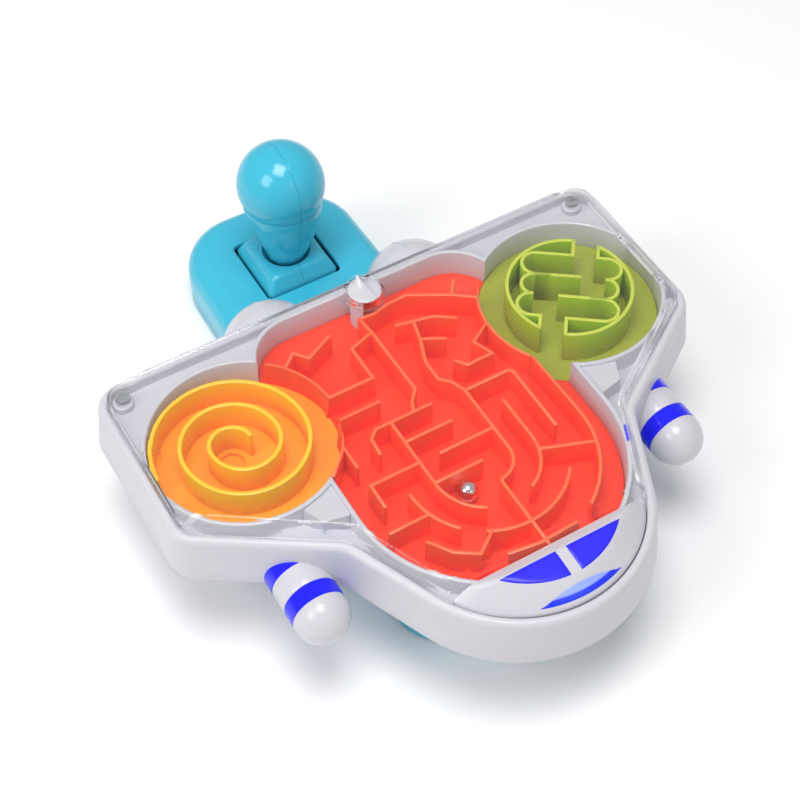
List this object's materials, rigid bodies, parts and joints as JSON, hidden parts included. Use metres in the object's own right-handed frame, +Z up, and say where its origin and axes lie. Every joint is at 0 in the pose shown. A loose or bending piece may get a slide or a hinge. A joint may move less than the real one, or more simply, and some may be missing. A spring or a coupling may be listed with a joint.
{
  "type": "tilt maze game",
  "caption": "Tabletop marble maze shaped like a spaceship; a joystick on the base tilts the tray to roll a steel ball through the mazes under a clear cover.",
  "frame": {"origin": "on the table, under the middle of the whole game's outline", "axes": "+Z up; the ship's nose points along -Y and the joystick stands towards +Y, so +X is the right-hand side for a player sitting behind the joystick"},
  "size_m": [0.2246, 0.265, 0.087],
  "materials": {
    "base_teal": "satin moulded plastic",
    "stick_teal": "glossy moulded plastic",
    "base_plate": "matt moulded plastic",
    "feet": "soft rubber",
    "linkage_dark": "matt acetal",
    "linkage_light": "matt acetal",
    "steel": "plated steel",
    "ball_steel": "polished steel",
    "hull_white": "satin moulded plastic",
    "trim_white": "satin moulded plastic",
    "maze_red": "glossy moulded plastic",
    "maze_yellow": "glossy moulded plastic",
    "maze_green": "glossy moulded plastic",
    "window_blue": "glossy paint",
    "visor_blue": "glossy paint",
    "band_blue": "glossy paint",
    "clear": "clear moulded plastic"
  },
  "bodies": {
    "base": {"base_shell": "base_teal", "base_plate": "base_plate", "feet": "feet", "base_screws": "steel", "bearing_blocks": "linkage_dark"},
    "rocker": {"rocker_frame": "linkage_dark", "stick_pin": "steel", "tray_pin": "steel"},
    "stick": {"stick_left_half": "stick_teal", "stick_right_half": "stick_teal", "stick_screws": "steel", "stick_yoke": "linkage_light", "rear_link_pin": "steel"},
    "link": {"link_rod": "linkage_light"},
    "tray": {"tray_hull": "hull_white", "hull_pan": "hull_white", "pan_screws": "steel", "tray_post": "linkage_light", "post_screws": "steel", "front_link_pin": "steel", "red_maze": "maze_red", "yellow_spiral": "maze_yellow", "green_maze": "maze_green", "start_chute": "hull_white", "clear_cover": "clear", "cover_screws": "steel", "cockpit": "trim_white", "cockpit_windows": "window_blue", "cockpit_visor": "visor_blue", "left_cannon": "trim_white", "right_cannon": "trim_white", "left_cannon_bands": "band_blue", "right_cannon_bands": "band_blue", "left_engine_bell": "trim_white", "right_engine_bell": "trim_white"},
    "plug": {"port_plug": "trim_white"},
    "ball": {"ball": "ball_steel"}
  },
  "joints": [
    {"name": "roll", "type": "hinge", "parent": "base", "child": "rocker", "pos_m": [0, 0.02475, 0.019], "axis": [0, 1, 0], "range_deg": [-7, 7]},
    {"name": "stick_pitch", "type": "hinge", "parent": "rocker", "child": "stick", "pos_m": [0, 0.0945, 0.019], "axis": [1, 0, 0], "range_deg": [-7, 7]},
    {"name": "tray_pitch", "type": "hinge", "parent": "rocker", "child": "tray", "pos_m": [0, -0.044, 0.019], "axis": [1, 0, 0], "range_deg": [-7, 7]},
    {"name": "link_swing", "type": "hinge", "parent": "stick", "child": "link", "pos_m": [0, 0.0945, 0.009], "axis": [1, 0, 0], "range_deg": [-7, 7]},
    {"name": "plug_lift", "type": "slide", "parent": "tray", "child": "plug", "axis": [0, 0, 1], "range_m": [0, 0.014]},
    {"name": "ball_roll", "type": "slide", "parent": "tray", "child": "ball", "axis": [1, 0, 0], "range_m": [-0.005, 0.01]}
  ],
  "couplings": [
    {"joint": "tray_pitch", "follows": "stick_pitch", "ratio": 1},
    {"joint": "link_swing", "follows": "stick_pitch", "ratio": -1}
  ]
}
